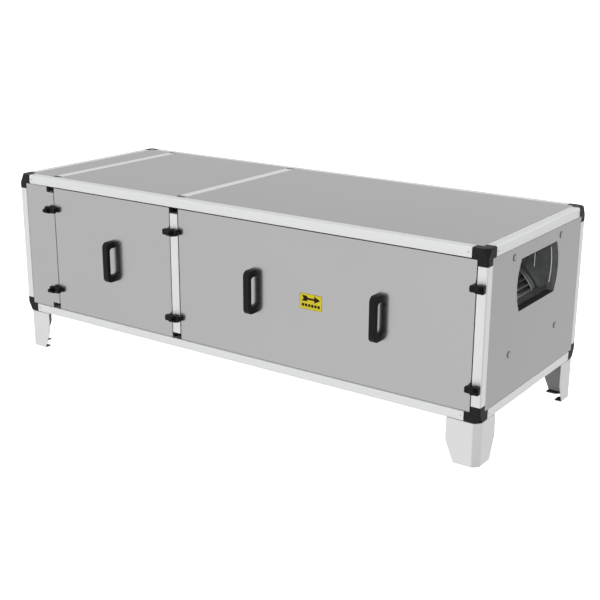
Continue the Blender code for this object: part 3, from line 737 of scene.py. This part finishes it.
def lever_side(reach):
    """Half of a clamp's outline: a square-shouldered base that narrows to a lever."""
    base, tall, narrow, soft = 0.0125, 0.024, 0.0195, 0.003
    if reach < 0.018:
        x, y = reach - soft, tall / 2 - soft
        return arc(x, -y, soft, -90, 0, 4) + arc(x, y, soft, 0, 90, 4)
    x, y, blunt = base - soft, tall / 2 - soft, 0.0045
    tip_x, tip_y = reach - blunt, narrow / 2 - blunt
    return (arc(x, -y, soft, -90, -40, 3) + [(base, -narrow / 2)]
            + arc(tip_x, -tip_y, blunt, -90, 0, 4) + arc(tip_x, tip_y, blunt, 0, 90, 4)
            + [(base, narrow / 2)] + arc(x, y, soft, 40, 90, 3))


def clamp_builds(left, right):
    """Lever, hub and knob of a clamp; local Z points out of the unit."""
    lift, thick = 0.005, 0.014
    lever = lever_side(right) + [(-x, -y) for x, y in lever_side(left)]
    hub = [(0, FIT), (0.0110, FIT), (0.0110, 0.022), (0.0095, 0.024), (0, 0.024)]
    knob = [(0, 0.020), (0.0070, 0.020), (0.0070, 0.0328), (0.0060, 0.034), (0, 0.034)]
    return prism(lever, lift, lift + thick), lathe(hub, 32), lathe(knob, 24)


def show_clamp(node, pivot_u):
    low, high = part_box(node)
    pivot = Vector((LOW.x + pivot_u, LOW.y, (low.z + high.z) / 2))
    lever, hub, knob = clamp_builds(pivot.x - low.x, high.x - pivot.x)
    place = axes(X, Z, pivot)
    body = bmesh.new()
    body.from_mesh(softened(mesh_from(lever, place), 0.0013, 3, 50))
    body.from_mesh(mesh_from(several(hub, knob), place))
    show("lever_" + node, shaded(mesh_of(body), 45), FITTING,
         "turn_" + node, (node,))


PIVOTS = {"left": BAR_US[0], "middle": BAR_US[1], "right": LENGTH - TUBE / 2}
for kind, pivot_u in PIVOTS.items():
    for level in ("lower", "upper"):
        show_clamp(f"clamp_{kind}_{level}", pivot_u)


# Legs


def leg_build(wide, foot, tall, kink, cut, lip):
    """Outer skin of one leg about its outer corner, going down from Z = 0."""
    def build(work):
        def face(*points):
            work.faces.new([work.verts.new(point) for point in points])

        face((cut, 0, 0), (wide, 0, 0), (wide, 0, -kink), (foot, 0, -tall), (cut, 0, -tall))
        face((0, cut, 0), (0, wide, 0), (0, wide, -kink), (0, foot, -tall), (0, cut, -tall))
        face((cut, 0, 0), (0, cut, 0), (0, cut, -tall), (cut, 0, -tall))
        face((wide, 0, 0), (cut, 0, 0), (0, cut, 0), (0, wide, 0), (lip, wide, 0),
             (lip, lip, 0), (wide, lip, 0))
        face((foot, 0, -tall), (cut, 0, -tall), (cut + lip, lip, -tall), (foot, lip, -tall))
        face((0, foot, -tall), (0, cut, -tall), (lip, cut + lip, -tall), (lip, foot, -tall))
        cleaned(work)
        bends = [edge for edge in work.edges if len(edge.link_faces) == 2]
        bmesh.ops.bevel(work, geom=bends, offset=0.0028, segments=4, profile=0.5,
                        affect="EDGES", clamp_overlap=True)
    return build


def shade_pad_builds(foot, tall, cut, lip):
    """Dark pads on the two folded lips at a leg's foot, which paint the shade the lips lie in."""
    inner, outer, start, end = 0.0036, lip + 0.0006, cut + 0.004, foot + 0.0005
    low, thick = 0.0022 - tall, 0.0016
    pad = [(end, inner), (start + inner, inner), (start + outer, outer), (end, outer)]
    mirrored = [(y, x) for x, y in pad]
    return [prism(outline, low, low + thick) for outline in (pad, mirrored)]


def show_legs():
    tall, wide, foot, kink, cut, lip = LOW.z - FIT, 0.104, 0.076, 0.071, 0.020, 0.024
    corners = {"front_left": (0, 0), "front_right": (LENGTH, 0), "back_right": (LENGTH, DEPTH),
               "back_left": (0, DEPTH)}
    for number, (name, (u, v)) in enumerate(corners.items()):
        turn = Matrix.Rotation(math.radians(90 * number), 4, "Z")
        place = Matrix.Translation(at(u, v, -FIT)) @ turn
        skin = mesh_from(leg_build(wide, foot, tall, kink, cut, lip))
        skin.materials.append(LEG)
        skin.materials.append(LEG_INSIDE_PAINTED_SHADE)
        # Solidify gives the inner faces the darker grey, which paints their shade.
        mesh = modified(skin, "SOLIDIFY", thickness=0.002, offset=-1, use_even_offset=True,
                        material_offset=1)
        mesh.transform(place)
        show("folded_leg_" + name, mesh, None, replaced=("leg_" + name,))
        # Dark pads over the foot lips: painted shade.
        shade_pads = mesh_from(several(*shade_pad_builds(foot, tall, cut, lip)), place)
        show("painted_shade_pads_" + name, softened(shade_pads, 0.0004, 2, 50), RUBBER)


show_legs()


# Label with the air's direction


def show_label():
    """A yellow film with an arrow over a row of plain blocks, inside a thin border."""
    wide, tall, film, ink = 0.081, 0.0495, 0.0003, 0.0004
    arrow_up, blocks_down, pitch, count = 0.0090, 0.0115, 0.0114, 6
    place = axes(X, Z, at(1.258, 0, 0.2552))
    plate = mesh_from(prism(rounded(wide, tall, 0.003), 0.00005, film), place)
    show("airflow_label", plate, LABEL)
    half = [(-0.0265, 0), (-0.0325, -0.0095), (-0.0155, -0.0085), (-0.0105, -0.0032),
            (0.0130, -0.0032), (0.0115, -0.0115), (0.0345, 0)]
    arrow = half + [(x, -y) for x, y in reversed(half[1:-1])]
    builds = [prism([(x, y + arrow_up) for x, y in arrow], film, ink)]
    block = rounded(0.0086, 0.0092, 0.001)
    for step in range(count):
        run = (step - (count - 1) / 2) * pitch
        builds.append(prism([(x + run, y - blocks_down) for x, y in block], film, ink))
    edge = [[(x, y, level) for x, y in rounded(wide - 2 * inset, tall - 2 * inset, 0.002)]
            for inset, level in ((0.0008, film), (0.0016, film), (0.0016, ink), (0.0008, ink))]
    builds.append(sleeve(*edge))
    show("airflow_arrow", mesh_from(several(*builds), place), PRINT)


show_label()


# Fasteners, blades and pleats, grown by geometry nodes


def open_growth(name, sizes, count=None):
    """A geometry tree with a count, named sizes and a material as its inputs."""
    counts = {count: "Int"} if count else {}
    tree, entry, leave = open_tree(
        name, "GeometryNodeTree", {"Geometry": "Geometry", **counts,
                                   **dict.fromkeys(sizes, "Float"), "Material": "Material"},
        {"Geometry": "Geometry"})
    tree.is_modifier = True
    return tree, entry, leave


def close_growth(tree, entry, leave, source):
    """Realizes the instances and sets the material."""
    real = feed(tree, "GeometryNodeRealizeInstances", {"Geometry": source})
    dressed = feed(tree, "GeometryNodeSetMaterial", {"Geometry": real,
                                                     "Material": entry["Material"]})
    tree.links.new(dressed, leave["Geometry"])
    return tree


def spots(tree):
    """The X, Y and Z of the points that a node moves."""
    here = feed(tree, "GeometryNodeInputPosition")
    return wire(tree, "ShaderNodeSeparateXYZ", {0: here}).outputs


def vector_of(tree, **parts):
    """A vector from its X, Y and Z; those left out are zero."""
    return feed(tree, "ShaderNodeCombineXYZ", parts)


def moved(tree, mesh, **parts):
    """The mesh with each point put at the given X, Y and Z."""
    return feed(tree, "GeometryNodeSetPosition", {"Geometry": mesh,
                                                  "Position": vector_of(tree, **parts)})


def raised(tree, mesh, height):
    return feed(tree, "GeometryNodeTransform", {"Geometry": mesh,
                                                "Translation": vector_of(tree, Z=height)})


def copies(tree, points, piece, turn):
    """The piece at each point, turned."""
    return feed(tree, "GeometryNodeInstanceOnPoints", {"Points": points, "Instance": piece,
                                                       "Rotation": turn})


def make_fastener_tree():
    """A domed head on a washer at each point, turned to the point's own direction."""
    tree, entry, leave = open_growth("fasteners", (
        "Head Radius", "Head Height", "Washer Radius", "Washer Thickness", "Lift"))
    radius, thick = entry["Head Radius"], entry["Washer Thickness"]
    ball = feed(tree, "GeometryNodeMeshUVSphere", {"Segments": 16, "Rings": 8, "Radius": 1.0})
    x, y, z = spots(tree)
    above = reckon(tree, "MAXIMUM", z, 0.0)
    dome = moved(tree, ball, X=reckon(tree, "MULTIPLY", x, radius),
                 Y=reckon(tree, "MULTIPLY", y, radius),
                 Z=reckon(tree, "MULTIPLY_ADD", above, entry["Head Height"], thick))
    disc = feed(tree, "GeometryNodeMeshCylinder", {
        "Vertices": 24, "Radius": entry["Washer Radius"], "Depth": thick})
    washer = raised(tree, disc, reckon(tree, "MULTIPLY", thick, 0.5))
    both = wire(tree, "GeometryNodeJoinGeometry", {0: washer})
    tree.links.new(dome, both.inputs[0])
    piece = raised(tree, both.outputs[0], entry["Lift"])
    facing = feed(tree, "GeometryNodeInputNamedAttribute", {"Name": "facing"},
                  data_type="FLOAT_VECTOR")
    turn = feed(tree, "FunctionNodeAlignRotationToVector", {"Vector": facing}, axis="Z")
    return close_growth(tree, entry, leave, copies(tree, entry["Geometry"], piece, turn))


def make_blade_tree():
    """Forward-curved blades spaced evenly round local Z."""
    tree, entry, leave = open_growth(
        "wheel_blades", ("Inner Radius", "Depth", "Sweep", "Length"), "Blades")
    strip = feed(tree, "GeometryNodeMeshGrid", {"Size X": 1.0, "Size Y": entry["Length"],
                                                "Vertices X": 9, "Vertices Y": 2})
    x, y, _ = spots(tree)
    share = reckon(tree, "ADD", x, 0.5)
    radius = reckon(tree, "MULTIPLY_ADD", share, entry["Depth"], entry["Inner Radius"])
    back = reckon(tree, "SUBTRACT", 0.0, entry["Sweep"])
    angle = reckon(tree, "MULTIPLY", reckon(tree, "POWER", share, 2.0), back)
    across, up = [reckon(tree, "MULTIPLY", reckon(tree, wave, angle), radius)
                  for wave in ("COSINE", "SINE")]
    blade = moved(tree, strip, X=across, Y=up, Z=y)
    centres = feed(tree, "GeometryNodePoints", {"Count": entry["Blades"]})
    part = reckon(tree, "DIVIDE", feed(tree, "GeometryNodeInputIndex"), entry["Blades"])
    euler = vector_of(tree, Z=reckon(tree, "MULTIPLY", part, 2 * math.pi))
    turn = feed(tree, "FunctionNodeEulerToRotation", {0: euler})
    return close_growth(tree, entry, leave, copies(tree, centres, blade, turn))


def make_pleat_tree():
    """A sheet folded into even pleats across local X, with soft crests."""
    tree, entry, leave = open_growth("pleats", ("Width", "Height", "Depth"), "Pleats")
    columns_per_pleat, crest = 12.0, 0.62
    columns = reckon(tree, "MULTIPLY_ADD", entry["Pleats"], columns_per_pleat, 1.0)
    sheet = feed(tree, "GeometryNodeMeshGrid", {
        "Size X": entry["Width"], "Size Y": entry["Height"], "Vertices X": columns,
        "Vertices Y": 2})
    x, y, _ = spots(tree)
    turns = reckon(tree, "MULTIPLY", reckon(tree, "DIVIDE", x, entry["Width"]), entry["Pleats"])
    wave = reckon(tree, "SINE", reckon(tree, "MULTIPLY", turns, 2 * math.pi))
    bend = reckon(tree, "ARCSINE", reckon(tree, "MULTIPLY", wave, crest))
    scale = reckon(tree, "DIVIDE", entry["Depth"], 2 * math.asin(crest))
    folded = moved(tree, sheet, X=x, Y=y, Z=reckon(tree, "MULTIPLY", bend, scale))
    return close_growth(tree, entry, leave, folded)


def grown(tree, values, placement=None, points=(), sheet=0.0):
    """The plain mesh that a geometry tree makes with the given input values."""
    seed = bpy.data.meshes.new("seed")
    seed.from_pydata([spot for spot, _ in points], [], [])
    facing = seed.attributes.new("facing", "FLOAT_VECTOR", "POINT")
    for item, (_, direction) in zip(facing.data, points):
        item.vector = direction
    holder = linked("holder", seed)
    step = holder.modifiers.new("grow", "NODES")
    step.node_group = tree
    for item in tree.interface.items_tree:
        if item.in_out == "INPUT" and item.name in values:
            step[item.identifier] = values[item.name]
    mesh = taken(holder)
    if sheet:
        mesh = modified(mesh, "SOLIDIFY", thickness=sheet, offset=0)
    if placement:
        mesh.transform(placement)
    return mesh


def fasteners(tree, finish, points, *sizes):
    """Heads on washers at points; sizes are the tree's inputs in their order."""
    labels = ("Head Radius", "Head Height", "Washer Radius", "Washer Thickness", "Lift")
    return grown(tree, dict(zip(labels, sizes), Material=finish), points=points)


def show_rivets(tree):
    """Two rivets hold each end of each rail to the corner piece inside it."""
    along, mid, limits, points = CORNER_REACH + 0.010, TUBE / 2, (LENGTH, DEPTH, HEIGHT), []
    for axis in (0, 1):
        first, second = [other for other in range(3) if other != axis]
        for a, b, end in product((0, 1), (0, 1), (along, limits[axis] - along)):
            for face, other, side, cross in ((first, second, a, b), (second, first, b, a)):
                spot, direction = [0.0] * 3, Vector((0, 0, 0))
                spot[axis] = end
                spot[face] = side * limits[face]
                spot[other] = limits[other] - mid if cross else mid
                direction[face] = 1 if side else -1
                points.append((at(*spot), direction))
    show("frame_rivets", fasteners(tree, STEEL, points, 0.0021, 0.0009, 0.0032, 0.0004), STEEL)
    # The pins are a darker zinc on the steel heads: partly the pin's own metal, partly painted
    # shade for each rivet's hollow centre.
    show("rivet_pins", fasteners(tree, ZINC, points, 0.0009, 0.0002, 0.0012, 0.0002, 0.0011),
         ZINC)


def show_end_screws(tree):
    """Four screws with washers hold the fan's flange to the outlet panel."""
    middle, aside, heights = DEPTH / 2 - 0.010, 0.166, (0.160, 0.447)
    points = [(at(LENGTH, middle + side, w), X) for side in (-aside, aside) for w in heights]
    for name, finish, sizes in (
            ("outlet_washers", WASHER, (0.0070, 0.0008, 0.0108, 0.0010, 0.0)),
            ("outlet_screws", PANEL, (0.0060, 0.0018, 0.0070, 0.0008, 0.0011))):
        mesh = shaded(fasteners(tree, finish, points, *sizes), 45)
        show(name, mesh, finish)


def mirrored_rings(*outline):
    """A lathed ring and its mirror image at the wheel's other end."""
    return [lathe([(r, sign * z) for r, z in outline], 96) for sign in (1, -1)]


def show_wheel(tree):
    """The fan wheel: blades between two rings and a middle disc, on a hub and shaft."""
    low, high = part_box("fan_wheel")
    radius, half = (high.x - low.x) / 2, (high.y - low.y) / 2
    place = axes(X, Z, (low + high) / 2)
    depth, ring, hem, sweep = 0.024, 0.004, 0.0034, math.radians(9)
    inner, rim, length = radius - 0.001 - depth, radius - 0.001, 2 * half - 2 * ring

    def blades(name, finish, start, deep, curl, turn, sheet):
        mesh = grown(tree, {"Blades": 44, "Inner Radius": start, "Depth": deep, "Sweep": curl,
                            "Length": length, "Material": finish},
                     place @ Matrix.Rotation(turn, 4, "Z"), sheet=sheet)
        show(name, mesh, finish, "wheel")

    blades("wheel_blades", ZINC, inner, depth, sweep, 0.0, 0.0009)
    blades("blade_hems", STEEL, rim - hem, hem, sweep * 0.26, -sweep * 0.74, 0.0022)
    near, far, edge = half - ring - FIT, half - 0.023, half - 0.0232
    bands = mirrored_rings((radius - 0.0006, near), (radius + 0.0002, near),
                           (radius + 0.0002, far), (radius - 0.0006, far))
    show("wheel_end_bands", mesh_from(several(*bands), place), ZINC, "wheel")
    end_rings = mirrored_rings(
        (inner - 0.001, half - ring), (radius - 0.0008, half - ring),
        (radius, half - ring + 0.0008), (radius, half - 0.0008), (radius - 0.0008, half),
        (inner + 0.001, half), (inner - 0.001, half - 0.0012))
    beads = mirrored_rings(
        (radius - 0.0006, edge - 0.0034), (radius + 0.0004, edge - 0.0034),
        (radius + 0.0010, edge - 0.0026), (radius + 0.0010, edge - 0.0008),
        (radius + 0.0004, edge), (radius - 0.0006, edge))
    disc = lathe([(0.020, -0.0012), (0.060, -0.0012), (0.064, -0.0028), (0.072, -0.0028),
                  (0.076, -0.0012), (radius, -0.0012), (radius, 0.0012), (0.077, 0.0012),
                  (0.073, -0.0004), (0.063, -0.0004), (0.059, 0.0012), (0.020, 0.0012)], 96)
    hub = lathe([(0, -0.004), (0.024, -0.004), (0.026, -0.002), (0.026, 0.008), (0.019, 0.010),
                 (0.018, 0.024), (0.017, 0.025), (0.0095, 0.025), (0.0095, 0.062),
                 (0.0085, 0.063), (0, 0.063)], 40)
    mesh = mesh_from(several(*end_rings, *beads, disc, hub), place)
    show("wheel_rings_and_hub", mesh, STEEL, "wheel", ("fan_wheel",))


def show_filter(tree):
    low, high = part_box("filter_media")
    size = high - low
    mesh = grown(tree, {"Pleats": 30, "Width": size.y - 0.002, "Height": size.z - 0.002,
                        "Depth": size.x - 0.003, "Material": MEDIA},
                 axes(Y, Z, (low + high) / 2), sheet=0.0014)
    show("pleated_filter", shaded(mesh, 50), MEDIA, replaced=("filter_media",))


FASTENERS = make_fastener_tree()
show_rivets(FASTENERS)
show_end_screws(FASTENERS)
show_wheel(make_blade_tree())
show_filter(make_pleat_tree())


# Camera, lights and floor


def make_camera():
    """The photo's view, solved from the frame's straight edges."""
    data = bpy.data.cameras.new("camera")
    data.lens = 66.645
    data.sensor_width = 36
    camera = linked("camera", data)
    camera.location = (2.13917, -2.95268, 1.38206)
    camera.rotation_euler = [math.radians(a) for a in (72.80153, -0.26139, 35.03614)]
    bpy.context.scene.camera = camera


def make_sun(name, direction, strength, spread):
    """A broad, soft light along a direction, which leaves no glint on the satin sheet."""
    data = bpy.data.lights.new(name, "SUN")
    data.energy = strength * math.pi
    data.angle = math.radians(spread)
    lamp = linked(name, data)
    lamp.visible_glossy = False
    lamp.rotation_euler = Vector(direction).to_track_quat("-Z", "Y").to_euler()


def make_floor():
    """A white floor that neither lights the unit nor mirrors in it."""
    mesh = bpy.data.meshes.new("floor")
    reach = 40.0
    mesh.from_pydata([(-reach, -reach, 0), (reach, -reach, 0), (reach, reach, 0),
                      (-reach, reach, 0)], [], [(0, 1, 2, 3)])
    material = bpy.data.materials.new("white_floor")
    material.use_nodes = True
    shader = material.node_tree.nodes["Principled BSDF"].inputs
    for key, value in (("Base Color", (0.9, 0.9, 0.9, 1)), ("Roughness", 0.9),
                       ("Emission Color", (1, 1, 1, 1)), ("Emission Strength", 0.95)):
        shader[key].default_value = value
    mesh.materials.append(material)
    floor = linked("floor", mesh)
    floor.visible_diffuse = False
    floor.visible_glossy = False


def make_world():
    """An even sky: white to the camera, dimmer where it lights or mirrors in the unit."""
    world = bpy.data.worlds.new("studio")
    world.use_nodes = True
    tree = world.node_tree
    tree.nodes.clear()

    def sky(strength):
        return feed(tree, "ShaderNodeBackground", {"Color": (1, 1, 1, 1), "Strength": strength})

    path = wire(tree, "ShaderNodeLightPath").outputs
    toward = wire(tree, "ShaderNodeTexCoord").outputs["Generated"]
    x, y, z = wire(tree, "ShaderNodeSeparateXYZ", {0: toward}).outputs
    # Mirrored, the sky is brighter in front, and above it darkens towards the left
    middle, front_rise, left_fall, left_start = 0.88, -0.17, 0.24, 0.07
    front_to_back = reckon(tree, "MULTIPLY_ADD", y, front_rise, middle)
    from_left = reckon(tree, "MULTIPLY_ADD", x, left_fall, left_start)
    dim_left = reckon(tree, "MINIMUM", from_left, 0.0)
    dusk = reckon(tree, "MULTIPLY", dim_left, reckon(tree, "GREATER_THAN", z, 0.0))
    mirrored = sky(reckon(tree, "ADD", front_to_back, dusk))
    lit = feed(tree, "ShaderNodeMixShader", {0: path["Is Glossy Ray"], 1: sky(0.14), 2: mirrored})
    seen = feed(tree, "ShaderNodeMixShader", {0: path["Is Camera Ray"], 1: lit, 2: sky(1.0)})
    wire(tree, "ShaderNodeOutputWorld", {0: seen})
    bpy.context.scene.world = world


make_camera()
make_sun("front_left_light", (0.588, 0.809, -0.02), 1.065, 8)
make_sun("top_light", (0.05, -0.05, -1), 0.63, 14)
make_sun("back_right_light", (-0.62, -0.78, -0.12), 1.12, 12)
make_floor()
make_world()
bpy.context.scene.view_settings.view_transform = "Standard"
